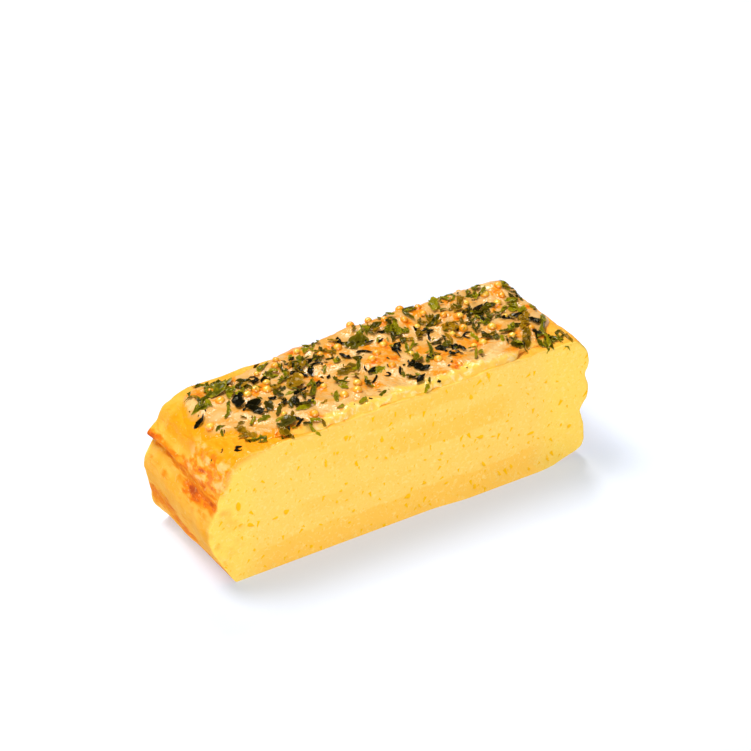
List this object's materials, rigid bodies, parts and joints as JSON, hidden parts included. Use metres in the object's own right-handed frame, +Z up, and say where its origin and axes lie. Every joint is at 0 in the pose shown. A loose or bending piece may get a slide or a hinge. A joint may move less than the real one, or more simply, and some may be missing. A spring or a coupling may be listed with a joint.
{
  "type": "rolled omelette slice",
  "caption": "Slice of a thick rolled omelette with flat cut faces and browned creased ends, topped with thin cream, fish roe and dried seaweed flakes.",
  "frame": {"origin": "under the middle of the slice, on the surface it rests on", "axes": "+X along the slice across the roll, from the rounded left end to the right end; +Y from the front cut to the back cut; +Z up"},
  "size_m": [0.0998, 0.032, 0.0361],
  "materials": {
    "egg": "moist cooked egg, satin on the cuts and glossy on the oiled, browned outside",
    "cream": "wet, glossy, slightly see-through cream",
    "roe": "shiny, slightly see-through fish roe",
    "flakes": "moist torn flakes of dried seaweed and herbs"
  },
  "bodies": {
    "root": {"omelette": "egg", "cream_topping": "cream"}
  },
  "joints": []
}
